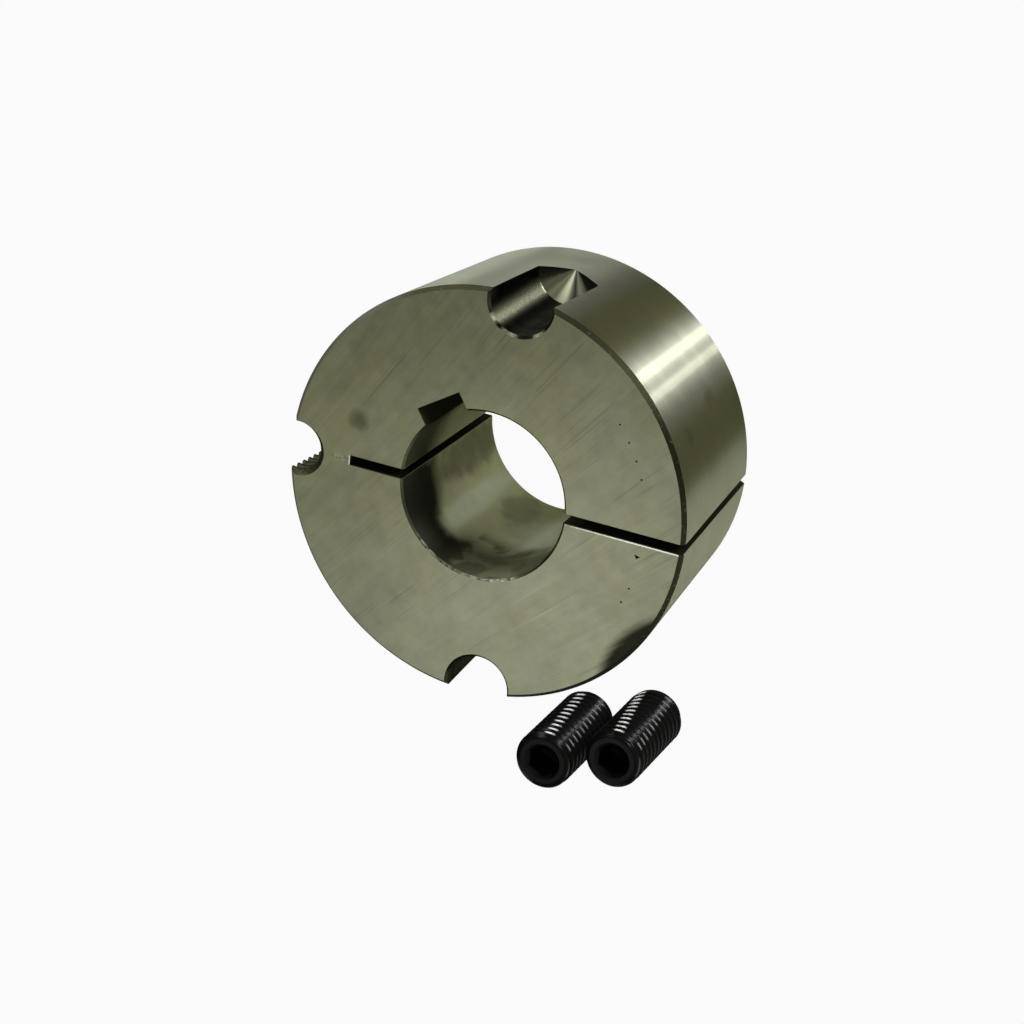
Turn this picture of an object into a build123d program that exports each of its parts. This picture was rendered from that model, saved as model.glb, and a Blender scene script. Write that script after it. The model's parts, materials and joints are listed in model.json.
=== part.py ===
"""Split taper bush for a keyed shaft, with its two socket set screws beside it.

The bush is one turned piece: a steep locking taper outside, a keyed bore
inside, one saw cut right through the wall and a relief slot opposite it.
Three blind half-holes are drilled down from the large face where the taper
meets the hub. Two are plain, for the screws that clamp the bush, and one is
tapped, for the screw that jacks it out again.

Frame: the bush stands on its small face. The origin is on the bore's axis,
in that face. +Z runs up to the large face, and the keyway points along +Y.
All lengths are in millimetres and all angles in degrees.
"""

import math
import os

from build123d import *

# ---- Bush: turned body ----
large_diameter = 85.73      # over the taper, at the large face, before its chamfer
bush_length = 44.45
taper_half_angle = 4.0      # each side of the axis
bore_diameter = 35.0
large_rim_chamfer = 0.9
small_rim_chamfer = 1.0
bore_chamfer = 0.45

# ---- Bush: keyway, split and relief slot ----
keyway_width = 10.0
keyway_depth = 3.3          # below the bore's wall, on the keyway's middle
keyway_direction = 90.0
split_direction = -33.5
split_width = 2.0
relief_width = 2.0
relief_depth = 11.7         # beyond the bore's wall, opposite the split

# ---- Set screws ----
screw_diameter = 12.7       # over the thread's crests
screw_length = 25.4
screw_end_chamfer = 0.75
socket_across_flats = 6.35
socket_depth = 8.0          # of the six flats, below the screw's end
socket_mouth_diameter = 8.0
screw_thread_height = 1.1   # cut by the tap outside the drilled wall

# ---- Half-holes in the bush ----
hole_circle_inset = 1.59    # from the large rim in to the circle of hole centres
clamp_hole_clearance = 0.25 # around the screw
clamp_hole_from_split = 85.2
half_hole_depth = 23.8      # of the round wall, above the drill's point
clamp_hole_chamfer = 0.55
jacking_hole_chamfer = 0.2
drill_point_angle = 118.0

# ---- Where the screws stand ----
screws_direction = -105.2   # from the bush's axis to the middle of the pair
screws_to_bush_gap = 15.1
screw_to_screw_gap = 3.3

# ---- Worked out from the values above ----
large_radius = large_diameter / 2
small_radius = large_radius - bush_length * math.tan(math.radians(taper_half_angle))
bore_radius = bore_diameter / 2
screw_radius = screw_diameter / 2
clamp_hole_radius = screw_radius + clamp_hole_clearance
jacking_hole_radius = screw_radius - screw_thread_height
hole_circle_radius = large_radius - hole_circle_inset
cut_past = 1.0              # how far a cutter runs past the face that it opens


def drill_point_height(radius):
    """Height of the cone that a twist drill leaves below a hole."""
    return radius / math.tan(math.radians(drill_point_angle / 2))


def turned(*points):
    """Solid turned about Z from an outline of (radius, height) points."""
    outline = Polyline(*points, close=True)
    return revolve(Plane.XZ * make_face(outline), Axis.Z)


def turned_body():
    """Tapered ring with a chamfer on each rim and on each end of its bore."""
    slope = (large_radius - small_radius) / bush_length
    return turned(
        (bore_radius + bore_chamfer, 0),
        (small_radius - small_rim_chamfer, 0),
        (small_radius + slope * small_rim_chamfer, small_rim_chamfer),
        (large_radius - slope * large_rim_chamfer, bush_length - large_rim_chamfer),
        (large_radius - large_rim_chamfer, bush_length),
        (bore_radius + bore_chamfer, bush_length),
        (bore_radius, bush_length - bore_chamfer),
        (bore_radius, bore_chamfer),
    )


def radial_slab(direction, width, outer_reach):
    """Full-length cutter from the bore's middle out to a reach, in one direction."""
    height = bush_length + 2 * cut_past
    slab = Pos(outer_reach / 2, 0, bush_length / 2) * Box(outer_reach, width, height)
    return Rot(0, 0, direction) * slab


def drilled_hole(direction, radius, chamfer):
    """Blind cutter with a drill point, on the hole circle, with a chamfered mouth."""
    shoulder = bush_length - half_hole_depth
    tip = shoulder - drill_point_height(radius)
    cutter = turned(
        (0, tip),
        (radius, shoulder),
        (radius, bush_length - chamfer),
        (radius + chamfer + cut_past, bush_length + cut_past),
        (0, bush_length + cut_past),
    )
    return Rot(0, 0, direction) * Pos(hole_circle_radius, 0, 0) * cutter


def taper_bush():
    """The whole bush, as one solid."""
    opposite_split = split_direction + 180
    body = turned_body()
    body -= radial_slab(split_direction, split_width, large_radius + cut_past)
    body -= radial_slab(opposite_split, relief_width, bore_radius + relief_depth)
    body -= radial_slab(keyway_direction, keyway_width, bore_radius + keyway_depth)
    for side in (-1, 1):
        direction = split_direction + side * clamp_hole_from_split
        body -= drilled_hole(direction, clamp_hole_radius, clamp_hole_chamfer)
    body -= drilled_hole(opposite_split, jacking_hole_radius, jacking_hole_chamfer)
    return body


def socket_cutter():
    """Six flats with a drill point below them and a round chamfered mouth above."""
    flats_radius = socket_across_flats / 2
    mouth_radius = socket_mouth_diameter / 2
    bottom = screw_length - socket_depth
    hexagon = RegularPolygon(flats_radius, 6, major_radius=False)
    flats = extrude(Pos(0, 0, bottom) * hexagon, socket_depth + cut_past)
    point = turned(
        (0, bottom - drill_point_height(flats_radius)),
        (flats_radius, bottom),
        (0, bottom),
    )
    mouth = turned(
        (0, screw_length - mouth_radius),
        (mouth_radius + cut_past, screw_length + cut_past),
        (0, screw_length + cut_past),
    )
    return flats + point + mouth


def set_screw():
    """Headless screw on its flat point, with its socket upwards."""
    end_radius = screw_radius - screw_end_chamfer
    body = turned(
        (0, 0),
        (end_radius, 0),
        (screw_radius, screw_end_chamfer),
        (screw_radius, screw_length - screw_end_chamfer),
        (end_radius, screw_length),
        (0, screw_length),
    )
    return body - socket_cutter()


def screw_place(side):
    """Where a screw of the pair stands: side is -1 or 1."""
    out = large_radius + screws_to_bush_gap + screw_radius
    along = side * (screw_diameter + screw_to_screw_gap) / 2
    return Rot(0, 0, screws_direction) * Pos(out, along, 0)


def write(node, shape):
    """Export one node as parts/NODE.step, and print its size."""
    export_step(shape, f"parts/{node}.step")
    size = shape.bounding_box().size
    print(f"{node}: {shape.volume:.0f} mm3, {size.X:.2f} x {size.Y:.2f} x {size.Z:.2f} mm")


os.makedirs("parts", exist_ok=True)
write("taper_bush", taper_bush())
write("set_screw_left", screw_place(-1) * set_screw())
write("set_screw_right", screw_place(1) * set_screw())
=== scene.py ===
# %% [markdown]
# # A split taper bush and its two set screws
# A taper bush locks a pulley or a sprocket to a shaft. Its steep taper is driven into a hub by
# two set screws, the saw cut lets it close on the shaft, and a key in the bore carries the
# torque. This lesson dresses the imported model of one: the bush is bare machined iron, and the
# screws are blackened steel.
#
# Lengths are in millimetres, and `MM` turns them into Blender's metres. Sizes that it doesn't
# name are written out where they are first used.

import json
import math

import bmesh
import bpy
from mathutils import Matrix, Vector

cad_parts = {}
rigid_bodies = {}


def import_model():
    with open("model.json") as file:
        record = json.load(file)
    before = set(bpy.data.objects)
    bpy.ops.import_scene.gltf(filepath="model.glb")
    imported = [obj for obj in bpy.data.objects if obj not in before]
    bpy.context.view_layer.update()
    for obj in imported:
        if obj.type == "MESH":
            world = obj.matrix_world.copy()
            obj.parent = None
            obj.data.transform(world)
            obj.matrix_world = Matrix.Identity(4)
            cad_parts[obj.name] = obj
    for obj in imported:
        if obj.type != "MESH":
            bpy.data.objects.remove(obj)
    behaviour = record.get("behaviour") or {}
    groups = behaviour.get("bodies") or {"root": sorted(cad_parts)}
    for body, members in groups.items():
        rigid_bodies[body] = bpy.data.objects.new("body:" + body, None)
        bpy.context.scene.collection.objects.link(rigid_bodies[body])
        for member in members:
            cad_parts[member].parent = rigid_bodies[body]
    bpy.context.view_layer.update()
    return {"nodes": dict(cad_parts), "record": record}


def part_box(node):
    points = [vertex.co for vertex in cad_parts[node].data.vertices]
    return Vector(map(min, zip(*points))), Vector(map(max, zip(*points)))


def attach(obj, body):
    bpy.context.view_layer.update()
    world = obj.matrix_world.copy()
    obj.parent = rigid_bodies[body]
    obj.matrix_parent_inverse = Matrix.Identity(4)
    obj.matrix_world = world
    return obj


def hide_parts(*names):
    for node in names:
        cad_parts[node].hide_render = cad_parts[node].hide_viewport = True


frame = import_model()
MM = 0.001
mounts = {mount["name"]: mount for mount in frame["record"]["mounts"]}
print("nodes:", ", ".join(sorted(frame["nodes"])))


def direction_of(point):
    """Angle of a point about the bush's axis, in degrees from +X."""
    return math.degrees(math.atan2(point[1], point[0]))


def reach_of(point):
    """Distance of a point from the bush's axis, in millimetres."""
    return math.hypot(point[0], point[1]) / MM


bush_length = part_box("taper_bush")[1].z / MM
screw_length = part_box("set_screw_left")[1].z / MM
bore_radius = mounts["bore"]["dims"]["r_mm"]
keyway_direction = direction_of(mounts["keyway"]["pos_m"])
keyway_reach = reach_of(mounts["keyway"]["pos_m"])
jacking_hole = mounts["jacking_half_hole"]["pos_m"]
clamp_holes = [mounts["clamp_half_hole_a"]["pos_m"], mounts["clamp_half_hole_b"]["pos_m"]]
split_direction = direction_of(jacking_hole) + 180
print("bush length", round(bush_length, 2), "mm, split at", round(split_direction, 1), "degrees")

# %% [markdown]
# ## The camera
# The bush stands on its small face, because on its side it would roll. It is seen from high up
# on one side, and the camera is rolled about its own axis, so that the large face looks out to
# the left. The bush could be tipped over instead, but then it would float. A long lens from
# about seven bush diameters away keeps the rims nearly parallel.

# %% Place the camera
aim = Vector((4.72, -5.01, bush_length)) * MM
camera_distance = 592.53 * MM
camera_azimuth = math.radians(15.467)
camera_elevation = math.radians(59.268)
camera_roll = math.radians(-127.842)
towards_camera = Vector((
    math.cos(camera_elevation) * math.cos(camera_azimuth),
    math.cos(camera_elevation) * math.sin(camera_azimuth),
    math.sin(camera_elevation),
))

camera_data = bpy.data.cameras.new("camera")
camera_data.lens, camera_data.sensor_width = 105.95, 36
camera_data.clip_start, camera_data.clip_end = 0.01, 50
camera = bpy.data.objects.new("camera", camera_data)
bpy.context.scene.collection.objects.link(camera)
camera.location = aim + towards_camera * camera_distance
level = towards_camera.to_track_quat("Z", "Y").to_matrix()
camera.rotation_euler = (level @ Matrix.Rotation(camera_roll, 3, "Z")).to_euler()
bpy.context.scene.camera = camera
bpy.context.scene.view_settings.view_transform = "Standard"
print("camera:", round(camera_distance / MM), "mm from the point that it aims at")

# %% [markdown]
# ## The lamps
# Bare metal shows what stands round it, so each lamp is shaped and placed by what it draws:
#
# - two upright strips low in front draw the double bright line down the taper;
# - a softbox low on each side, and another between one of them and the strips, light its flanks
#   and the thread crests;
# - a small one behind, nearer than the rest, is mirrored in the large face, and because it is
#   near, its light falls off across the face; a larger one further away evens that out a little;
# - a small one high on one side adds to the dashes on the thread crests;
# - two high ones reach down into the bore, each onto the wall opposite.
#
# Between them the metal stays dark. A picture of a studio wrapped round the scene would do the
# same, but a lamp can be moved and dimmed by itself.

# %% Set up the lamps
lamp_aim = Vector((0, 0, 0.02))     # about the middle of the bush


def lamp(name, azimuth, elevation, distance, width, height, watts, colour=(1, 1, 1)):
    """Rectangular lamp that looks at the bush: angles in degrees, lengths in metres."""
    data = bpy.data.lights.new(name, "AREA")
    data.shape, data.size, data.size_y, data.energy = "RECTANGLE", width, height, watts
    data.color = colour
    turn, lift = math.radians(azimuth), math.radians(elevation)
    back = Vector((math.cos(lift) * math.cos(turn), math.cos(lift) * math.sin(turn), math.sin(lift)))
    obj = bpy.data.objects.new(name, data)
    bpy.context.scene.collection.objects.link(obj)
    obj.location = lamp_aim + back * distance
    obj.rotation_euler = back.to_track_quat("Z", "Y").to_euler()
    return obj


cool = (1, 1, 1.22)
lamp("strip_left", 15, 8, 0.8, 0.02, 0.16, 3.8, cool)
lamp("strip_right", 5.6, 8, 0.8, 0.02, 0.16, 2.3, cool)
lamp("side_left", 105, 14, 0.8, 0.3, 0.25, 2.9, cool)
lamp("crest_light", 72, 12, 0.8, 0.4, 0.25, 2.2, cool)
lamp("side_right", 299, 12, 0.8, 0.75, 0.25, 4.3)
lamp("key", 209, 60, 0.354, 0.1, 0.1, 0.048)
lamp("top", 195, 60, 0.8, 0.42, 0.42, 0.26)
lamp("dash_light", 125, 64, 0.8, 0.1, 0.2, 0.15)
lamp("bore_light", 11, 60, 0.8, 0.05, 0.3, 1.8)
lamp("wall_light", 100, 50, 0.8, 0.2, 0.15, 0.85, (1, 1, 1.1))
print(len(bpy.data.lights), "lamps")

# %% [markdown]
# ## Finishes from nodes
# Every finish here is worked out from a point's own place on the metal, so it needs no picture,
# and the pattern fits from every side. Writing node trees out by hand is long, so one small
# class lets an output socket take part in Python sums, another adds any node in one line, and a
# third starts a material.

# %% Sums on sockets
class Wire:
    """An output socket. Sums and products on it add Math nodes to its tree."""

    def __init__(self, net, socket):
        self.net, self.socket = net, socket

    def __add__(self, other):
        return self.net.math("ADD", self, other)

    def __sub__(self, other):
        return self.net.math("SUBTRACT", self, other)

    def __rsub__(self, other):
        return self.net.math("SUBTRACT", other, self)

    def __mul__(self, other):
        return self.net.math("MULTIPLY", self, other)

    def __truediv__(self, other):
        return self.net.math("DIVIDE", self, other)

    def __rtruediv__(self, other):
        return self.net.math("DIVIDE", other, self)

    __radd__, __rmul__ = __add__, __mul__

    def swing(self, amount):
        """Values in 0..1 as a change of at most half an amount, down or up."""
        return amount * (self - 0.5)


# %% Any node in one line
class Net:
    """A node tree that is filled from Python."""

    def __init__(self, tree):
        self.tree = tree

    def plug(self, socket, value):
        """Link a wire to an input, or set the input to a number, vector or colour."""
        if isinstance(value, Wire):
            self.tree.links.new(value.socket, socket)
        elif socket.type == "RGBA" and len(value) == 3:
            socket.default_value = (*value, 1)
        else:
            socket.default_value = value

    def node(self, kind, settings=None, values=None, output=None):
        """Add a node: its settings first, then its inputs by name or number."""
        new = self.tree.nodes.new("ShaderNode" + kind)
        for name, setting in (settings or {}).items():
            setattr(new, name, setting)
        for name, value in (values or {}).items():
            inputs = [s for s in new.inputs if s.enabled]
            named = [s for s in inputs if s.name == name]
            self.plug(inputs[name] if isinstance(name, int) else named[0], value)
        outputs = [s for s in new.outputs if s.enabled]
        return Wire(self, next(s for s in outputs if output in (None, s.name)))

    def math(self, operation, *values):
        """A Math node on one or more numbers."""
        return self.node("Math", {"operation": operation}, dict(enumerate(values)))

    def vector(self, operation, *values, output=None):
        """A Vector Math node on one or more vectors."""
        return self.node("VectorMath", {"operation": operation}, dict(enumerate(values)), output)

    def step(self, value, low, high):
        """Smooth step from 0 at low to 1 at high."""
        return self.node("MapRange", {"interpolation_type": "SMOOTHSTEP"}, {
            "Value": value, "From Min": low, "From Max": high})

    def mix(self, share, first, second, how="MIX"):
        """Blend two colours."""
        return self.node("Mix", {"data_type": "RGBA", "blend_type": how}, {
            "Factor": share, "A": first, "B": second})

    def shade(self, colour, factor):
        """A colour made lighter or darker by a factor."""
        grey = self.node("CombineColor", values={"Red": factor, "Green": factor, "Blue": factor})
        return self.mix(1.0, colour, grey, "MULTIPLY")


# %% A material to build on
class Finish(Net):
    """A material under construction. Lengths in it are millimetres."""

    def __init__(self, name, roughness=0.4, metallic=1.0, anisotropic=0.0):
        self.material = bpy.data.materials.new(name)
        self.material.use_nodes = True
        super().__init__(self.material.node_tree)
        self.shader = self.tree.nodes["Principled BSDF"]
        self.set("Metallic", metallic)
        self.set("Roughness", roughness)
        self.set("Anisotropic", anisotropic)
        self.set("Anisotropic Rotation", 0.25)     # a quarter turn, for rings round the axis
        self.place = self.vector("SCALE", self.node("TexCoord", output="Object"))
        self.place.socket.node.inputs["Scale"].default_value = 1 / MM
        self.x, self.y, self.z = (self.node(
            "SeparateXYZ", values={"Vector": self.place}, output=axis) for axis in "XYZ")

    def set(self, name, value):
        """Set one of the shader's own sockets, or link a wire to it."""
        self.plug(self.shader.inputs[name], value)

    def distance(self, centre):
        """Distance from an upright line through a centre."""
        flat = self.vector("MULTIPLY", self.vector("SUBTRACT", self.place, (*centre, 0)), (1, 1, 0))
        return self.vector("LENGTH", flat, output="Value")

    def direction(self, x, y):
        """Direction of a step (x, y), in degrees from +X, between -180 and 180."""
        return math.degrees(1) * self.math("ARCTAN2", y, x)

    def noise(self, size, detail=2.0, stretch=(1, 1, 1), place=None, seed=0.0, swirl=0.0):
        """Noise in 0..1 whose grains are about size long, times a stretch along each axis."""
        spread = self.node("Mapping", {"vector_type": "TEXTURE"}, {
            "Vector": place or self.place, "Location": (seed, 2 * seed, 3 * seed),
            "Scale": tuple(size * f for f in stretch)})
        return self.node("TexNoise", values={
            "Vector": spread, "Scale": 1.0, "Detail": detail, "Distortion": swirl})

    def spot(self, centre, radius, ragged):
        """A soft round mask, 1 in its middle, whose edge wanders by half of ragged."""
        away = self.distance(centre) + self.noise(radius, 3, seed=centre[0]).swing(ragged)
        return 1 - self.step(away, 0.2 * radius, radius)

    def bump(self, height, depth):
        """Relief whose height runs from 0 to 1 over a depth in millimetres."""
        self.set("Normal", self.node("Bump", values={"Height": height, "Distance": depth * MM}))


iron, oiled_iron = (0.25, 0.256, 0.178), (0.25, 0.25, 0.12)
print("bare iron reflects", iron)

# %% [markdown]
# ## The floor and the room
# The floor and the room are white where the camera sees them. The metal sees much less of them:
# a weak cream glow on the floor and a dim white room, because at full white the face and the
# bore would lose their dark tones. A part of the floor's own shading stays in, so that the bush
# and the screws keep a soft shadow. A lit backdrop could give the white too, but it would light
# the metal from all sides.

# %% Floor and room
white_share = 0.95         # of the floor's look that is a plain white glow to the camera
mirrored_share = 0.14      # of it that is a plain cream glow to the metal
room_level = 0.03          # light of the room, as the metal sees it
white, cream = (1, 1, 1), (1, 1, 0.78)


def white_where_seen(net, share, mirrored):
    """Share of the plain glow that a ray sees: one share for the camera, one for mirrored rays."""
    seen, glossy, through = (net.node("LightPath", output=f"Is {kind} Ray") for kind in (
        "Camera", "Glossy", "Transmission"))
    return share * seen + mirrored * (glossy + through)


floor_finish = Finish("floor_paint", roughness=0.9, metallic=0.0)
floor_finish.set("Base Color", (0.25, 0.25, 0.25))
glow = floor_finish.mix(floor_finish.node("LightPath", output="Is Camera Ray"), cream, white)
sheet = floor_finish.node("MixShader", values={
    0: white_where_seen(floor_finish, white_share, mirrored_share),
    1: Wire(floor_finish, floor_finish.shader.outputs[0]),
    2: floor_finish.node("Emission", values={"Color": glow, "Strength": 1.0})})
floor_finish.plug(floor_finish.tree.nodes["Material Output"].inputs["Surface"], sheet)

bpy.ops.object.select_all(action="DESELECT")
bpy.ops.mesh.primitive_plane_add(size=8, location=(0, 0, 0))
floor = bpy.context.object
floor.name = "floor"
floor.data.materials.append(floor_finish.material)

room = bpy.data.worlds.new("room")
bpy.context.scene.world = room
room.use_nodes = True
air = Net(room.node_tree)
backdrop = room.node_tree.nodes["Background"]
air.plug(backdrop.inputs["Color"], white)
air.plug(backdrop.inputs["Strength"], room_level + white_where_seen(air, 1 - room_level, 0.0))
print("glow that metal sees: floor", mirrored_share, "and room", room_level)

# %% [markdown]
# ## The ground face
# The large face is ground flat last, and the wheel leaves straight fine lines across it. Noise
# that is stretched along one direction makes such lines without a picture. Its direction turns a
# little across the face, a few lines are scored deeper and a few shine, and oil clouds the metal
# on one side. Painted shade darkens the face towards one side, and painted light brightens it
# towards another.

# %% Ground face
def across_line(net, degrees):
    """How far along, and how far to the left of, a line from the axis in a direction."""
    turn = math.radians(degrees)
    along = math.cos(turn) * net.x + math.sin(turn) * net.y
    left = math.cos(turn) * net.y - math.sin(turn) * net.x
    return along, left


def between(net, value, low, high, soft):
    """Mask that is 1 from low to high, and fades out over a soft width outside."""
    return net.step(value, low - soft, low) * (1 - net.step(value, high, high + soft))


ground = Finish("ground_face", roughness=0.32)
grain_turn = math.radians(16.5)
grain_bend = math.radians(0.25)     # for each millimetre down the slope
down_slope = 0.2 * ground.x - 0.98 * ground.y
bend = ground.node("VectorRotate", {"rotation_type": "Z_AXIS"}, {
    "Vector": ground.place, "Angle": grain_bend * down_slope - grain_turn})
grain = ground.noise(0.2, 2, stretch=(60, 1, 1), place=bend)
strands = ground.noise(0.7, 2, stretch=(30, 1, 1), place=bend, seed=4)
bands = ground.noise(2.6, 2, stretch=(9, 1, 1), place=bend, seed=9)
clouds = ground.noise(12, 3, seed=2)
yellowing = ground.noise(9, 3, seed=31)
scores = ground.step(ground.noise(0.55, 1, stretch=(45, 1, 1), place=bend, seed=17), 0.62, 0.74)
shines = ground.step(ground.noise(0.4, 1, stretch=(50, 1, 1), place=bend, seed=23), 0.68, 0.76)
mottle = ground.noise(3.5, 3, seed=41)
filmed = ground.step(across_line(ground, 100)[0], -35, 40)
# Painted shade darkens the face towards one side, and painted light brightens it towards another.
face_painted_shade = ground.step(across_line(ground, 72)[0], 14, 42)
face_painted_light = ground.step(across_line(ground, 140)[0], 12, 40)
tone = (1 + grain.swing(0.1) + strands.swing(0.22) + bands.swing(0.34)
        - 0.16 * face_painted_shade + 0.17 * face_painted_light
        + clouds.swing(0.3) + mottle.swing(0.4)
        - 0.16 * scores + 0.12 * shines)
oiled_share = 0.3 * ground.step(yellowing, 0.38, 0.7) + 0.45 * filmed
metal = ground.mix(oiled_share, iron, oiled_iron)
print("lines across the face:", len(ground.tree.nodes), "nodes so far")

# %% [markdown]
# ## Marks on the large face
# The face keeps traces of its work: a dark stain at the rim, a smudge from a thumb, scratches
# where the relief slot was marked out, a burr at that slot's end, and a broken one along an edge
# of the split; the burrs are drawn near white, as painted highlights. They could be painted on a
# picture, but a mask that is placed by direction and distance from the axis stays sharp from
# close by, and can be moved by a number.

# %% Marks on the large face
upper = ground.step(ground.z, bush_length - 1, bush_length - 0.5)
reach = ground.distance((0, 0))
stain_direction = -67.5
along, left = across_line(ground, stain_direction)
stain_reach = reach - 0.04 * left * left + strands.swing(1.6)
rim_stain = ground.step(along, 20, 30) * ground.step(stain_reach, 37.4, 40.4)
thumb_mark = ground.spot((-18.5, 22.9), 3.0, ragged=2.0)
dirt = upper * (0.93 * rim_stain + 0.5 * thumb_mark)

along, left = across_line(ground, split_direction + 180)
beside = 1 - ground.step(ground.math("ABSOLUTE", left), 0.4, 1.0)
scribed = upper * between(ground, along, 29.5, 33.2, 0.4) * beside
dots = ground.step(ground.noise(0.55, 1, seed=3), 0.5, 0.6)
# The burrs at the slot's end and along the split are drawn near white, as painted highlights.
slot_end_glint = between(ground, along, 29.25, 29.5, 0.08) * between(ground, left, -0.95, 0.95, 0.15)

along, left = across_line(ground, split_direction)
burr_grains = ground.noise(0.7, 2, seed=12)
burr_length = ground.step(along + burr_grains.swing(22), 12, 34)
split_burr_glint = between(ground, left, -1.32, -1.0, 0.07) * burr_length
burrs_and_glints = upper * (slot_end_glint + split_burr_glint)

tone = tone * (1 - dirt) * (1 - 0.3 * scribed * dots + 0.15 * scribed * (1 - dots))
# The near-white colour here is the burrs' painted highlight.
ground.set("Base Color", ground.mix(burrs_and_glints, ground.shade(metal, tone), (0.85, 0.85, 0.76)))
ground.set("Roughness", 0.32 + bands.swing(0.08) + strands.swing(0.08))
ground.bump(grain, 0.003)
print("ground face:", len(ground.tree.nodes), "nodes")

# %% [markdown]
# ## The turned taper
# A lathe tool leaves fine rings. They spread a lamp's reflection along the axis, so a strip lamp
# makes one bright line from rim to rim. Rings could be cut into the mesh, but they are too fine
# for it, so the gloss is made anisotropic and turned by a quarter.
#
# The lamps alone leave the double line too dull, so a painted highlight makes the metal a little
# lighter in two lines, with painted shade between them and painted shade, tinted like oil, on each
# side of the pair. That part stays where it is when a lamp moves. Two small spots of rust sit beside
# it.

# %% Turned taper
taper = Finish("turned_taper", roughness=0.38, anisotropic=1.0)
rings = taper.noise(0.3, 2, stretch=(60, 60, 1))
chatter = taper.noise(1.1, 2, stretch=(9, 9, 1), seed=5)
patches = taper.noise(7, 3, seed=8)
turn = taper.direction(taper.x, taper.y)
# Painted highlight: two lighter lines where the strips are mirrored, and painted shade in the gap
# between them.
first_line = between(taper, turn, 13.2, 15.2, 1.3)
second_line = between(taper, turn, 7.4, 8.6, 1.3)
painted_gap_shade = between(taper, turn, 10.4, 11.0, 1.0)
painted_highlight_lines = 0.32 * first_line + 0.34 * second_line - 0.12 * painted_gap_shade
# Painted shade, tinted like oil, on each side of the pair of lines.
painted_shade_bands = between(taper, turn, -15, -5, 6) + between(taper, turn, 25, 34, 5)
tone = (0.92 + rings.swing(0.14) + chatter.swing(0.16) + patches.swing(0.24)
        + painted_highlight_lines - 0.16 * painted_shade_bands)


def rust_spot(net, centre, radius):
    """Ragged mask round a point of the taper."""
    away = net.vector("LENGTH", net.vector("SUBTRACT", net.place, centre), output="Value")
    return 1 - net.step(away + net.noise(radius, 3).swing(2 * radius), 0.3 * radius, radius)


rust = rust_spot(taper, (41.4, -1.8, 17), 3.0) + rust_spot(taper, (42.2, -4.4, 34), 2.2)
metal = taper.mix(painted_shade_bands, (0.25, 0.256, 0.168), (0.25, 0.25, 0.105))
metal = taper.mix(0.5 * rust, metal, (0.2, 0.15, 0.07))
taper.set("Base Color", taper.shade(metal, tone))
taper.set("Roughness", 0.38 + rings.swing(0.08) + patches.swing(0.06))
print("turned taper:", len(taper.tree.nodes), "nodes")

# %% [markdown]
# ## The rims' chamfers
# The tool that cut the chamfers rubbed, and oil stays in its marks. Near the split they are
# nearly black; towards the keyway a painted light makes them brown, and on the far side a
# stronger painted light makes them nearly as pale as the metal. One colour would make the rim a
# drawn outline, so three are blended, each by how far round it lies.

# %% Rim chamfer
rim = Finish("dark_rim", roughness=0.55)
rim_black, rim_lit_brown, rim_lit_pale = (0.01, 0.0105, 0.005), (0.026, 0.025, 0.0115), (0.165, 0.172, 0.11)
rim_fleck = (0.08, 0.07, 0.035)
grains = rim.noise(0.7, 3)
# Painted light: brown towards the keyway, and paler still on the far side.
lit_towards_keyway = rim.step(across_line(rim, 65)[0], 14, 28)
lit_far_side = rim.step(across_line(rim, 165)[0], 4, 26)
colour = rim.mix(lit_far_side, rim.mix(lit_towards_keyway, rim_black, rim_lit_brown), rim_lit_pale)
rim.set("Base Color", rim.mix(rim.step(grains, 0.62, 0.75), colour, rim_fleck))
rim.set("Roughness", 0.5 + grains.swing(0.2))
print("rims' chamfers:", len(rim.tree.nodes), "nodes")

# %% [markdown]
# ## The bore
# The bore is turned as well, and its wall is mottled. A painted highlight makes a pale wedge down
# the middle, and painted shade makes darker places on both sides. Every patch is a soft oval,
# placed by its direction from the axis and by its height, because those two say where a thing is
# on a round wall.
#
# Little light reaches the wall, so its metal is written about 2.7 times as light as the face's.
# In open light it would look too pale.

# %% Bored wall
bored = Finish("bored_wall", roughness=0.6, anisotropic=0.7)
fine = bored.noise(0.3, 2, stretch=(40, 40, 1))
blots = bored.noise(3.2, 3, seed=6)
broad = bored.noise(9, 2, seed=14)


def round_bore(net):
    """Direction of a point on the bore from the axis, from 0 to 360 degrees."""
    return 180 + net.direction(-1 * net.x, -1 * net.y)


bore_turn = round_bore(bored)


def bore_patch(direction, height, half_turn, half_height):
    """Soft oval mask on the bore's wall."""
    across = (bore_turn - direction) / half_turn
    up = (bored.z - height) / half_height
    away = bored.math("SQRT", across * across + up * up)
    return 1 - bored.step(away + blots.swing(0.5), 0.45, 1.0)


# Painted highlight: the pale wedge at 194 degrees and a lighter strip at 238 to 250 below
# mid-height. Painted shade: the darker places at 219 and 163 degrees and on the side below 150.
tone = (2.7 + fine.swing(0.2) + blots.swing(0.7) + broad.swing(0.6)
        + 0.6 * bore_patch(194, 20, 12, 22) - 0.75 * bore_patch(219, 9, 17, 10)
        - 1.15 * bore_patch(163, 12, 20, 22) - 0.35 * (1 - bored.step(bore_turn, 138, 150))
        - 0.7 * (1 - bored.step(bore_turn, 104, 122))
        + 0.6 * bored.step(bore_turn, 238, 250) * (1 - bored.step(bored.z, 24, 32)))
# The painted highlight patches also turn the metal a little cooler.
painted_highlight_patches = bored.math("MAXIMUM", bore_patch(194, 18, 13, 26), bore_patch(254, 17, 22, 16))
highlight_tinted_metal = bored.mix(painted_highlight_patches, (0.25, 0.254, 0.155), (0.25, 0.262, 0.195))
highlight_tinted_metal = bored.mix(0.5 * bore_patch(172, 20, 14, 10), highlight_tinted_metal, (0.27, 0.245, 0.18))
print("bored wall:", len(bored.tree.nodes), "nodes so far")

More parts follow.
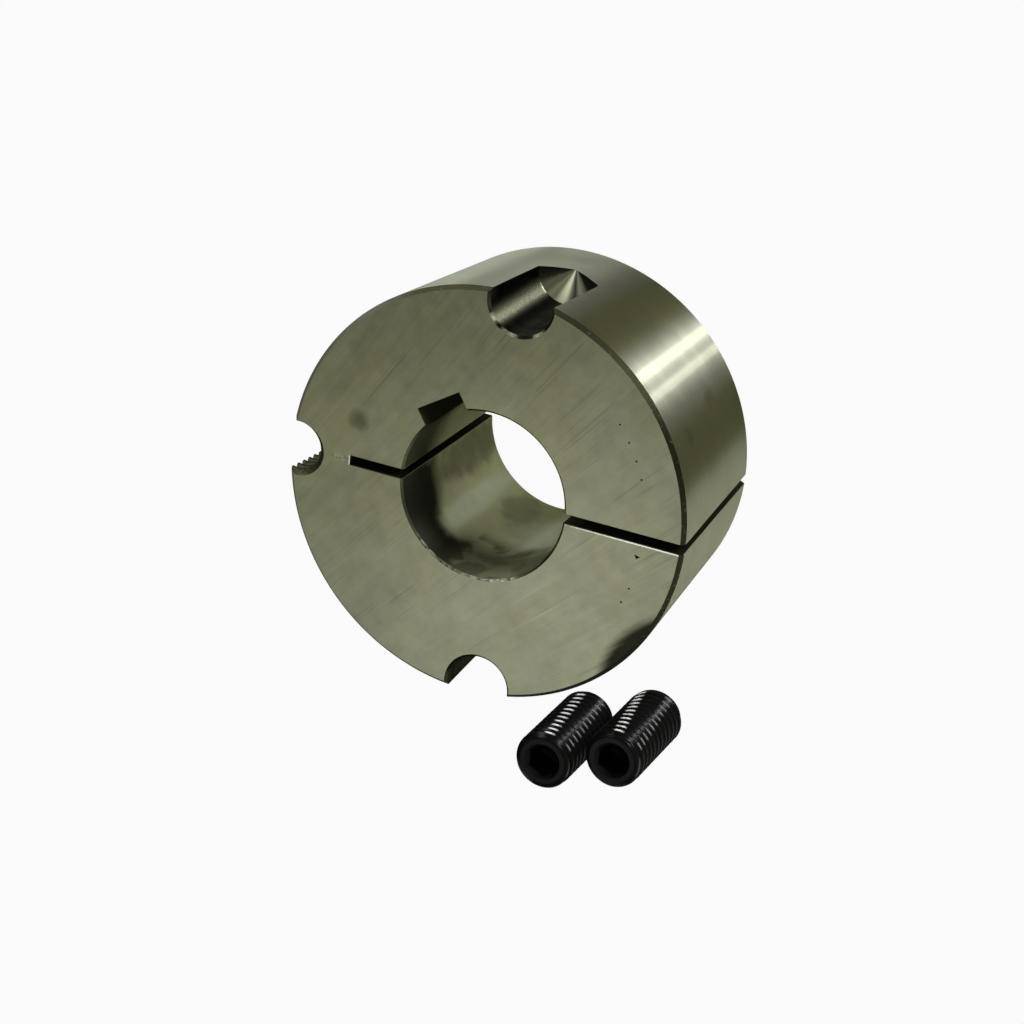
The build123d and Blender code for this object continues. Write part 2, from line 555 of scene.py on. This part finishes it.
# %% [markdown]
# ## Oil in the bore
# Cutting oil has run down from the large face and dried: nearly black down the middle and to
# one side, in a thinner film on the other side, and in curls where something wiped it. Each is a
# mask with a wavering edge, and the strongest one wins at each point, so that two films on top of
# each other don't turn blacker than oil. One mask painted by hand could hold them all, but then
# no patch could be moved by a number.

# %% Oil on the bored wall
drop = 29 + 5 * (1 - bored.step(bored.math("ABSOLUTE", bore_turn - 197), 3, 25))
wavering = bore_turn + blots.swing(18) + broad.swing(26)
ragged_height = bored.z + blots.swing(3)
run = bored.step(ragged_height - drop, -3.2, 3.2) * between(bored, wavering, 149, 215, 16)
left_film = bored.step(bored.z + blots.swing(8), 22, 37) * (1 - bored.step(bore_turn, 142, 146))
swirls = bored.noise(6, 3, stretch=(1, 1, 1.5), seed=21, swirl=1.2)
curls = bored.step(swirls, 0.42, 0.62)
smears = (between(bored, bore_turn, 218, 275, 6) * bored.step(ragged_height, 23, 29)
          * (0.3 + 0.45 * curls))
right_film = (bored.step(bore_turn, 198, 214) * bored.step(ragged_height, 24, 36)
              * (0.83 + 0.14 * curls + 0.03 * bored.step(bore_turn, 234, 246)))
lip = 0.7 * bored.step(bored.z + blots.swing(1.5), 40.5, 43.0)
oil = run
for coat in (0.97 * left_film, smears, right_film, lip):
    oil = bored.math("MAXIMUM", oil, coat)
thick_oil, thin_oil = (0.024, 0.0255, 0.0145), (0.09, 0.09, 0.042)
oil_colour = bored.mix(bored.step(bore_turn, 206, 224), thick_oil, thin_oil)
bored.set("Base Color", bored.mix(oil, bored.shade(highlight_tinted_metal, tone), oil_colour))
bored.set("Roughness", 0.6 + fine.swing(0.08) - 0.1 * oil)
print("bored wall with its oil:", len(bored.tree.nodes), "nodes")

# %% [markdown]
# ## The bore's chamfers
# The bore's own chamfers are oily too, and on one side they show flecks of bare metal, made
# lighter by painted light. A single dark colour would do for most of it, so the flecks are all
# that is added.

# %% Bore chamfer
bore_edge = Finish("bore_edge", roughness=0.45)
grains = bore_edge.noise(1.3, 3)
# Flecks on one side, lightened as painted light.
painted_light_flecks = between(bore_edge, round_bore(bore_edge), 194, 262, 8) * bore_edge.step(grains, 0.38, 0.6)
bore_edge.set("Base Color", bore_edge.mix(painted_light_flecks, (0.035, 0.037, 0.02), (0.15, 0.145, 0.09)))
print("bore's chamfers:", len(bore_edge.tree.nodes), "nodes")

# %% [markdown]
# ## Drilled walls
# The drill leaves fine rings too, but deeper ones that hold dark oil, and painted shade keeps the
# walls nearly black inside the hollows. One plain half-hole has painted highlights: a light stripe
# down its wall, pale arcs round its mouth, a glint just above the drill's point and a fan of light
# on the cone below.
#
# A hollow half-round mirrors a strip lamp that way, but the lamps here reach it only weakly. So
# the light places are written into the finish, by the direction in which the wall faces, and
# they stay when a lamp moves. A mask round the hole keeps them out of the other two.

# %% Drilled walls
drilled_iron = (0.25, 0.252, 0.15)
drilled = Finish("drilled_wall", roughness=0.38, anisotropic=1.0)
rings = drilled.noise(0.3, 2, stretch=(60, 60, 1))
stains = drilled.noise(2.5, 3)
specks = drilled.noise(0.5, 3)
hole_x, hole_y = clamp_holes[0][0] / MM, clamp_holes[0][1] / MM


def facing(net):
    """Direction in which a drilled wall of the half-hole with painted highlights faces, in degrees
    from +X.
    """
    return net.direction(hole_x - net.x, hole_y - net.y)


def near_painted_hole(net):
    """Mask that is 1 within 9 mm of the axis of the half-hole with painted highlights, and 0 in the
    other holes.
    """
    return 1 - net.step(net.distance((hole_x, hole_y)), 9, 10)


face_turn = facing(drilled)
# Painted highlights: a stripe down the wall, arcs round the mouth and a glint above the point.
painted_stripe = between(drilled, face_turn, -3, 13, 17)
mouth = drilled.step(drilled.z, bush_length - 0.6, bush_length - 0.5)
painted_arcs = (0.7 * between(drilled, face_turn, 5, 7, 12) + between(drilled, face_turn, 38, 44, 16)
        + 1.3 * between(drilled, face_turn, 94, 99, 13))
painted_glint = between(drilled, drilled.z, 20.6, 21.1, 0.2) * between(drilled, face_turn, 0, 14, 6)
lit = drilled.node("Mix", values={
    "Factor": mouth, "A": 0.33 * painted_stripe + 0.8 * painted_glint, "B": 1.7 * painted_arcs})
lit = lit * near_painted_hole(drilled)
# The base of 0.05 is oil and painted shade inside the hole; lit adds the painted highlights.
tone = 0.05 + lit * (1 + specks.swing(2)) + rings.swing(0.08) + stains.swing(0.1)
drilled.set("Base Color", drilled.shade(drilled_iron, tone))
drilled.set("Roughness", 0.62 + rings.swing(0.08))
print("drilled walls:", len(drilled.tree.nodes), "nodes")

# %% Cones that the drill's point leaves
drill_point = Finish("drill_point", roughness=0.45)
cone_turn = facing(drill_point)
rings = drill_point.noise(0.4, 2)
# Painted highlight: a fan of light on the cone of that half-hole.
painted_fan = (0.8 * between(drill_point, cone_turn, 45, 50, 14)
       + 0.16 * between(drill_point, cone_turn, 26, 60, 14)
       + 0.05 * between(drill_point, cone_turn, 0, 30, 12)
       + 0.16 * between(drill_point, cone_turn, 88, 98, 16))
painted_hole = near_painted_hole(drill_point)
tone = painted_hole * (0.06 + 2.2 * painted_fan) + 0.3 * (1 - painted_hole) + rings.swing(0.1)
drill_point.set("Base Color", drill_point.shade(drilled_iron, tone))
print("drill's cones:", len(drill_point.tree.nodes), "nodes")

# %% [markdown]
# ## Tapped and sawn walls, and filed edges
# The tapped and the sawn walls, which also line the keyway and the dents, are rough and oily, and
# painted shade keeps them nearly black, because they lie in narrow slots and notches. A file that
# broke the edges left them bright, and that thin bright edge tells a saw cut from a drawn line.
# Each needs only one noise, because each is seen as a narrow strip.

# %% Walls left by the tap, the saw and the file
tapped = Finish("tapped_wall", roughness=0.5)
grains = tapped.noise(0.8, 3)
# The low tone is painted shade in the tapped notch, with oil.
tapped.set("Base Color", tapped.shade(oiled_iron, 0.2 + grains.swing(0.3)))

sawn = Finish("sawn_wall", roughness=0.6)
strokes = sawn.noise(0.4, 2, stretch=(30, 30, 1))
# The low tone is painted shade in the slots, the keyway and the dents, with oil.
sawn.set("Base Color", sawn.shade(oiled_iron, 0.12 + strokes.swing(0.08)))
sawn.set("Roughness", 0.6 + strokes.swing(0.2))

filed = Finish("filed_edge", roughness=0.3)
dents = filed.noise(0.8, 3)
filed.set("Base Color", filed.shade((0.75, 0.74, 0.66), 0.8 + dents.swing(0.5)))
print("rough walls and edges:", tapped.material.name, sawn.material.name, filed.material.name)

# %% [markdown]
# ## Black oxide
# The set screws are blackened, so they are almost black with an oily shine, and the finish has
# rubbed off along the crests of the thread. The lamps alone make those crests too faint, so a
# painted highlight lights them through a mask: a thin shell at the crests' radius, near a line
# that climbs each screw and leans round it. Thin wires could stand for the lit crests, but a
# mask can't come away from the thread.

# %% Blackened steel
oxide = Finish("black_oxide", roughness=0.22, metallic=0.0)
grains = oxide.noise(0.9, 3)
screw_radius = 6.35


def crest_wear_and_highlight(node, foot, lean, half_width):
    """Mask of a screw's worn crests near a line up it, where a painted highlight goes.

    The line stands in a direction, foot, at z = 0 and turns back by lean degrees a millimetre.
    """
    low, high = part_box(node)
    centre = ((low.x + high.x) / 2 / MM, (low.y + high.y) / 2 / MM)
    turn = oxide.direction(oxide.x - centre[0], oxide.y - centre[1])
    aside = oxide.math("ABSOLUTE", turn + lean * oxide.z - foot)
    shell = between(oxide, oxide.distance(centre), screw_radius - 0.13, screw_radius + 0.05, 0.14)
    return shell * (1 - oxide.step(aside, 0.35 * half_width, half_width))


faint = 0.16
# Painted highlight on the worn crests, strong on one side of each screw and faint on another.
crest_highlight = (crest_wear_and_highlight("set_screw_left", 72, 0.8, 13)
        + crest_wear_and_highlight("set_screw_right", 91, 1.5, 13)
        + faint * crest_wear_and_highlight("set_screw_left", 26, 0.8, 11)
        + faint * crest_wear_and_highlight("set_screw_right", 31, 1.1, 11))
crest_highlight = crest_highlight * (0.4 + 0.6 * oxide.step(grains, 0.3, 0.55))
dark = oxide.shade((0.0042, 0.0048, 0.0038), 1 + grains.swing(0.6))
oxide.set("Base Color", oxide.mix(crest_highlight, dark, (0.85, 0.84, 0.72)))
oxide.set("Roughness", 0.2 + grains.swing(0.1))
oxide.set("Specular IOR Level", 0.08)

socket_black = Finish("socket_black", roughness=0.7)
soot = socket_black.noise(0.8, 3)
socket_black.set("Base Color", socket_black.shade((0.006, 0.007, 0.006), 1 + soot.swing(0.6)))
print(len(bpy.data.materials), "materials so far")

# %% [markdown]
# ## Tools for modelling
# Every operator works on what is selected, so these helpers clear the selection, select by
# place, and cut one mesh with another. Meshes could be built from lists of points instead, but
# the operators are the same ones that a hand would use.

# %% Modelling helpers
HERE = 1e-6   # metres within which two places are the same


def start_piece(name, finish):
    """Name the primitive that was just added, give it a finish and bake its place in."""
    piece = bpy.context.object
    piece.name = name
    piece.data.materials.append(finish.material)
    bpy.ops.object.transform_apply(location=True, rotation=True, scale=True)
    return piece


def only(piece):
    """Make a piece the only selected and the active one."""
    bpy.ops.object.select_all(action="DESELECT")
    piece.select_set(True)
    bpy.context.view_layer.objects.active = piece


def pick(kind, test):
    """In edit mode, select the vertices, edges or faces whose corners all pass a test."""
    bpy.ops.mesh.select_mode(type=kind)
    bpy.ops.mesh.select_all(action="DESELECT")
    mesh = bmesh.from_edit_mesh(bpy.context.object.data)
    items = {"VERT": mesh.verts, "EDGE": mesh.edges, "FACE": mesh.faces}[kind]
    for item in items:
        corners = [item] if kind == "VERT" else item.verts
        item.select_set(all(test(corner.co) for corner in corners))
    mesh.select_flush(False)
    bmesh.update_edit_mesh(bpy.context.object.data)
    return sum(item.select for item in items)


def cut(piece, cutter, how="DIFFERENCE"):
    """Boolean a piece with a cutter, then throw the cutter away."""
    only(piece)
    modifier = piece.modifiers.new("cut", "BOOLEAN")
    modifier.operation, modifier.solver, modifier.object = how, "EXACT", cutter
    modifier.material_mode = "TRANSFER"
    bpy.ops.object.modifier_apply(modifier=modifier.name)
    bpy.data.objects.remove(cutter, do_unlink=True)


def turn_about_axis(piece, degrees):
    """Turn a piece's mesh about the bush's axis."""
    piece.data.transform(Matrix.Rotation(math.radians(degrees), 4, "Z"))


# %% [markdown]
# ## The turned body
# The bush starts as a bar in a lathe, so it starts here as a cone. Insetting its two ends
# leaves the faces, and bridging the two inner rings makes the bore. Bevelling the four rims
# gives the chamfers that stop the edges from burring. A turned outline would give the same
# solid, but here each step has its own size to change.

# %% Turn the body
taper_half_angle = 4       # degrees, each side of the axis
taper_slope = math.tan(math.radians(taper_half_angle))
large_rim_chamfer, small_rim_chamfer, bore_chamfer = 0.9, 1.0, 0.45
edge_break = 0.07          # what a file takes off an edge
segments_round = 384

widest = max(reach_of(v.co) for v in frame["nodes"]["taper_bush"].data.vertices)
large_radius = widest + taper_slope * large_rim_chamfer
small_radius = large_radius - taper_slope * bush_length

bpy.ops.object.select_all(action="DESELECT")
bpy.ops.mesh.primitive_cone_add(
    vertices=segments_round, radius1=small_radius * MM, radius2=large_radius * MM,
    depth=bush_length * MM, location=(0, 0, bush_length / 2 * MM))
bush = start_piece("bush", ground)

bpy.ops.object.mode_set(mode="EDIT")
for height, outer in ((0, small_radius), (bush_length, large_radius)):
    pick("FACE", lambda p: abs(p.z - height * MM) < HERE)
    bpy.ops.mesh.inset(thickness=(outer - bore_radius) * MM)
    bpy.ops.mesh.delete(type="ONLY_FACE")
pick("EDGE", lambda p: reach_of(p) < bore_radius + 0.1)
bpy.ops.mesh.bridge_edge_loops()

rims = (
    (bush_length, large_radius, large_rim_chamfer),
    (0, small_radius, small_rim_chamfer),
    (bush_length, bore_radius, bore_chamfer),
    (0, bore_radius, bore_chamfer),
)
for height, radius, chamfer in rims:
    pick("EDGE", lambda p: abs(p.z - height * MM) < HERE and abs(reach_of(p) - radius) < 0.05)
    bpy.ops.mesh.bevel(offset=chamfer * MM, segments=1, affect="EDGES")
bpy.ops.mesh.select_all(action="SELECT")
bpy.ops.mesh.normals_make_consistent(inside=False)
bpy.ops.object.mode_set(mode="OBJECT")

for finish in (taper, bored, rim, bore_edge):
    bush.data.materials.append(finish.material)
for face in bush.data.polygons:
    lean = face.normal.z
    outside = reach_of(face.center) > (small_radius + bore_radius) / 2
    if abs(lean) < 0.2:
        face.material_index = 1 if outside else 2
    elif abs(lean) < 0.95:
        face.material_index = 3 if outside else 4
print("turned body:", len(bush.data.polygons), "faces")

# %% [markdown]
# ## Slots: the split, the relief slot and the keyway
# A saw cuts the split and the relief slot, and a broach cuts the keyway, so each is a slab
# taken out of the wall. A slab that flares a little where it breaks out leaves the small
# broken edge that a file leaves, and that edge is what catches the light. Bevelling the edges
# after the cut could do it too, but a bevel is easily upset by the small faces that a boolean
# leaves.

# %% Cut the slots
split_width, relief_width, keyway_width = 2.0, 2.0, 10.0
relief_reach = 29.2
cut_past = 1.0     # how far a cutter runs on past a surface


def slab(width, reach, direction):
    """Full-length cutter from the bore's middle outwards, flared where it leaves each face."""
    straight = bush_length - 2 * edge_break
    flare = edge_break + cut_past
    bpy.ops.object.select_all(action="DESELECT")
    bpy.ops.mesh.primitive_cube_add(
        size=MM, scale=(reach, width, straight),
        location=Vector((reach / 2, 0, bush_length / 2)) * MM)
    cutter = start_piece("slab", sawn)
    bpy.ops.object.mode_set(mode="EDIT")
    for end in (-1, 1):
        height = bush_length / 2 + end * straight / 2
        pick("FACE", lambda p: abs(p.z - height * MM) < HERE)
        bpy.ops.mesh.extrude_region_move(TRANSFORM_OT_translate={"value": (0, 0, end * flare * MM)})
        widen = (1 + 2 * flare / reach, 1 + 2 * flare / width, 1)
        middle = (reach / 2 * MM, 0, (height + end * flare) * MM)
        bpy.ops.transform.resize(value=widen, center_override=middle)
    bpy.ops.object.mode_set(mode="OBJECT")
    turn_about_axis(cutter, direction)
    return cutter


def edge_file(width, low_radius, high_radius, direction):
    """Square bar on edge, laid along a slot's mouth, which breaks both of its edges."""
    half = (width / 2 + edge_break) * MM
    length = (bush_length + 2 * cut_past) * MM
    bpy.ops.object.select_all(action="DESELECT")
    bpy.ops.mesh.primitive_cylinder_add(vertices=4, radius=half, depth=length)
    bar = start_piece("edge_file", filed)
    bpy.ops.object.mode_set(mode="EDIT")
    for end, radius in ((-1, low_radius), (1, high_radius)):
        pick("FACE", lambda p: p.z * end > 0)
        bpy.ops.transform.translate(value=(radius * MM, 0, bush_length / 2 * MM))
    bpy.ops.object.mode_set(mode="OBJECT")
    turn_about_axis(bar, direction)
    return bar


cut(bush, slab(split_width, large_radius + cut_past, split_direction))
cut(bush, slab(relief_width, relief_reach, split_direction + 180))
cut(bush, slab(keyway_width, keyway_reach, keyway_direction))
cut(bush, edge_file(split_width, small_radius, large_radius, split_direction))
cut(bush, edge_file(split_width, bore_radius, bore_radius, split_direction))
cut(bush, edge_file(relief_width, bore_radius, bore_radius, split_direction + 180))
print("after the slots:", len(bush.data.polygons), "faces")

# %% [markdown]
# ## Drilled half-holes
# Each hole is drilled down the joint between bush and hub, so the bush keeps half of it. The
# cutter is the drill itself: a round bar whose end face is pulled out and merged to a point.
# It is a whole drill and not a half, so that the break through the taper falls where it must.

# %% Drill the half-holes
clamp_hole_radius, clamp_hole_chamfer = 6.6, 0.55
jacking_hole_radius, jacking_hole_chamfer = 5.25, 0.2     # as drilled, before it is tapped
drilled_depth = 23.8       # of the round wall, above the drill's point
drill_half_angle = math.radians(59)
hole_segments = 96


def drill(radius, centre, chamfer):
    """Drill with a pointed end, standing in its hole, with a countersink above it."""
    shoulder, mouth = bush_length - drilled_depth, bush_length - chamfer
    point = radius / math.tan(drill_half_angle)
    flare = chamfer + cut_past
    bpy.ops.object.select_all(action="DESELECT")
    bpy.ops.mesh.primitive_cylinder_add(
        vertices=hole_segments, radius=radius * MM, depth=(mouth - shoulder) * MM,
        location=(centre[0], centre[1], (mouth + shoulder) / 2 * MM))
    cutter = start_piece("drill", drilled)
    bpy.ops.object.mode_set(mode="EDIT")
    pick("FACE", lambda p: p.z < (shoulder + 1) * MM)
    bpy.ops.mesh.extrude_region_move(TRANSFORM_OT_translate={"value": (0, 0, -point * MM)})
    bpy.ops.mesh.merge(type="CENTER")
    cutter.data.materials.append(drill_point.material)
    pick("FACE", lambda p: p.z < shoulder * MM + HERE)
    bpy.context.object.active_material_index = 1
    bpy.ops.object.material_slot_assign()
    pick("FACE", lambda p: p.z > (mouth - 1) * MM)
    bpy.ops.mesh.extrude_region_move(TRANSFORM_OT_translate={"value": (0, 0, flare * MM)})
    wide = 1 + flare / radius
    bpy.ops.transform.resize(
        value=(wide, wide, 1), center_override=(centre[0], centre[1], (mouth + flare) * MM))
    bpy.ops.object.mode_set(mode="OBJECT")
    return cutter


for centre in clamp_holes:
    cut(bush, drill(clamp_hole_radius, centre, clamp_hole_chamfer))
cut(bush, drill(jacking_hole_radius, jacking_hole, jacking_hole_chamfer))
print("after drilling:", len(bush.data.polygons), "faces")

# %% [markdown]
# ## Dents in the large face
# A centre punch leaves small round dents beside the split and on the other side of the wall,
# and something sharp has nicked the face near the split. Each is a cone on its point, sunk
# into the face: with many corners for the punch, and with three for the nick. Bump in the
# finish could draw them, but it wouldn't be in the mesh, and it would look flat from the side.

# %% Punch the dents
def dent(corners, radius, depth, reach, direction, turn=0, stretch=1):
    """Sink a pointed dent into the large face, at a distance from the axis in a direction."""
    bpy.ops.object.select_all(action="DESELECT")
    bpy.ops.mesh.primitive_cone_add(
        vertices=corners, radius1=0, radius2=radius * MM, depth=2 * depth * MM,
        location=(reach * MM, 0, bush_length * MM), rotation=(0, 0, math.radians(turn)),
        scale=(stretch, 1, 1))
    cutter = start_piece("dent", sawn)
    turn_about_axis(cutter, direction)
    cut(bush, cutter)


for direction in (6.2, -0.3, -6.7, -13, -51.6, -57.4):
    dent(corners=24, radius=0.42, depth=0.36, reach=34.6, direction=direction)
dent(corners=3, radius=1.0, depth=0.6, reach=33.8, direction=-39.9, turn=175, stretch=1.6)
print("after the dents:", len(bush.data.polygons), "faces")

# %% [markdown]
# ## The thread
# One long edge is cut into short ones, and each of its points is drawn in by the depth of a
# rounded 55 degree thread at that height. The Screw modifier turns this outline once while it
# climbs by one pitch, so the turns join up into a threaded bar. The same bar serves twice: as
# the tap that cuts the jacking half-hole, and as the stock that the set screws are cut from.
# Stacked rings would be simpler, but a thread that doesn't climb shows at both ends.

# %% A threaded bar
steps_per_turn = 96
thread_pitch = 25.4 / 12                  # twelve turns to the inch
thread_depth = 0.6403 * thread_pitch
thread_round = 0.1373 * thread_pitch      # radius of the crests and of the roots
flank_angle = 62.5                        # between a flank and the screw's axis


def thread_outline():
    """One pitch of the thread from crest to crest, as (height, depth below the crests)."""
    arc = [math.radians(flank_angle * step / 3) for step in range(-3, 4)]
    crest = [(thread_round * math.sin(a), thread_round * (1 - math.cos(a))) for a in arc]
    root = [(thread_pitch / 2 + along, thread_depth - drop) for along, drop in crest]
    return crest[3:] + root + [(thread_pitch + along, drop) for along, drop in crest[:3]]


outline = thread_outline()
print(len(outline), "points to a pitch, thread depth", round(thread_depth, 3), "mm")


def threaded_bar(turns, base, finish):
    """Closed right-hand threaded bar on the Z axis, which starts at a height."""
    bpy.ops.object.select_all(action="DESELECT")
    bpy.ops.mesh.primitive_plane_add(size=2 * MM)
    bar = start_piece("threaded_bar", finish)
    bpy.ops.object.mode_set(mode="EDIT")
    pick("VERT", lambda p: p.x < 0)
    bpy.ops.mesh.delete(type="VERT")
    bpy.ops.mesh.select_all(action="SELECT")
    bpy.ops.mesh.subdivide(number_cuts=turns - 1)
    bpy.ops.mesh.subdivide(number_cuts=len(outline) - 1)
    bpy.ops.object.mode_set(mode="OBJECT")
    for point in bar.data.vertices:
        share = (point.co.y / MM + 1) / 2
        turn, step = divmod(round(share * turns * len(outline)), len(outline))
        height, drop = outline[step]
        point.co = Vector((screw_radius - drop, 0, base + turn * thread_pitch + height)) * MM
    turning = bar.modifiers.new("turning", "SCREW")
    turning.axis, turning.angle, turning.screw_offset = "Z", math.tau, thread_pitch * MM
    turning.steps = turning.render_steps = steps_per_turn
    bpy.ops.object.modifier_apply(modifier=turning.name)
    bpy.ops.object.mode_set(mode="EDIT")
    bpy.ops.mesh.select_mode(type="VERT")
    bpy.ops.mesh.select_all(action="SELECT")
    bpy.ops.mesh.remove_doubles(threshold=HERE)
    bpy.ops.mesh.select_all(action="DESELECT")
    bpy.ops.mesh.select_non_manifold()
    bpy.ops.mesh.edge_face_add()
    bpy.ops.mesh.poke()
    bpy.ops.mesh.select_all(action="SELECT")
    bpy.ops.mesh.normals_make_consistent(inside=False)
    bpy.ops.object.mode_set(mode="OBJECT")
    return bar


tap = threaded_bar(turns=13, base=bush_length - drilled_depth + 1, finish=tapped)
tap.data.transform(Matrix.Translation((jacking_hole[0], jacking_hole[1], 0)))
cut(bush, tap)
print("after tapping:", len(bush.data.polygons), "faces")

# %% [markdown]
# ## The set screws
# A set screw is threaded bar, cut off and chamfered in a lathe and pressed with a hexagon
# socket. The part of the bar that lies inside a chamfered blank is the screw. It is made once
# and copied, and the copy is turned by a sixth of a turn, so that the two sockets still lie
# the same way while the threads start at different places.

# %% Make the screws
screw_end_chamfer, socket_end_round = 0.75, 1.35
socket_flats, socket_depth, socket_mouth_radius = 6.35, 8.0, 4.0


def blank():
    """The turned outside of a screw: a bar with both ends chamfered."""
    bpy.ops.object.select_all(action="DESELECT")
    bpy.ops.mesh.primitive_cylinder_add(
        vertices=steps_per_turn, radius=screw_radius * MM, depth=screw_length * MM,
        location=(0, 0, screw_length / 2 * MM))
    piece = start_piece("blank", oxide)
    bpy.ops.object.mode_set(mode="EDIT")
    pick("EDGE", lambda p: p.z < HERE)
    bpy.ops.mesh.bevel(offset=screw_end_chamfer * MM, segments=1, affect="EDGES")
    pick("EDGE", lambda p: p.z > screw_length * MM - HERE)
    bpy.ops.mesh.bevel(offset=socket_end_round * MM, segments=4, affect="EDGES")
    bpy.ops.object.mode_set(mode="OBJECT")
    return piece


def hexagon_punch():
    """Six-sided punch with a pointed end, in the screw's upper end."""
    corner_radius = socket_flats / 2 / math.cos(math.radians(30))
    bpy.ops.object.select_all(action="DESELECT")
    bpy.ops.mesh.primitive_cylinder_add(
        vertices=6, radius=corner_radius * MM, depth=(socket_depth + cut_past) * MM,
        location=(0, 0, (screw_length - (socket_depth - cut_past) / 2) * MM),
        rotation=(0, 0, math.radians(30)))
    punch = start_piece("punch", socket_black)
    bpy.ops.object.mode_set(mode="EDIT")
    pick("FACE", lambda p: p.z < (screw_length - socket_depth + 1) * MM)
    point = socket_flats / 2 / math.tan(drill_half_angle)
    bpy.ops.mesh.extrude_region_move(TRANSFORM_OT_translate={"value": (0, 0, -point * MM)})
    bpy.ops.mesh.merge(type="CENTER")
    bpy.ops.object.mode_set(mode="OBJECT")
    return punch


def countersink():
    """Cone that rounds the socket's mouth."""
    radius = (socket_mouth_radius + cut_past) * MM
    bpy.ops.object.select_all(action="DESELECT")
    bpy.ops.mesh.primitive_cone_add(
        vertices=steps_per_turn, radius1=0, radius2=radius, depth=radius,
        location=(0, 0, (screw_length + cut_past) * MM - radius / 2))
    return start_piece("countersink", socket_black)


screw = blank()
cut(screw, threaded_bar(turns=14, base=-thread_pitch, finish=oxide), "INTERSECT")
cut(screw, hexagon_punch())
cut(screw, countersink())
screw.name = "screw_left"
print("screw:", len(screw.data.polygons), "faces")

# %% Copy the screw and stand both in their places
only(screw)
bpy.ops.object.duplicate()
screws = [screw, bpy.context.object]
screws[1].name = "screw_right"
turn_about_axis(screws[1], 60)
for piece, node in zip(screws, ("set_screw_left", "set_screw_right")):
    low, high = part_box(node)
    piece.data.transform(Matrix.Translation(((low.x + high.x) / 2, (low.y + high.y) / 2, 0)))
    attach(piece, "root")
    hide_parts(node)
    print(piece.name, "stands for", node)

# %% [markdown]
# ## Round walls and crisp edges
# Every turned or drilled wall here is a ring of narrow flat strips. More strips would make it
# rounder, but smooth shading does it for nothing, as long as faces that meet at a real edge
# stay apart. So it is limited by angle, and the edges in both end faces are marked sharp.

# %% Shade the pieces and hand the bush over
smooth_below = math.radians(32)
for piece in (bush, *screws):
    only(piece)
    bpy.ops.object.mode_set(mode="EDIT")
    top = max(v.co.z for v in piece.data.vertices)
    for end in (0, top):
        pick("EDGE", lambda p: abs(p.z - end) < HERE)
        bpy.ops.mesh.mark_sharp()
    bpy.ops.object.mode_set(mode="OBJECT")
    bpy.ops.object.shade_smooth_by_angle(angle=smooth_below, keep_sharp_edges=True)
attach(bush, "root")
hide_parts("taper_bush")
print(bush.name, "stands for taper_bush")
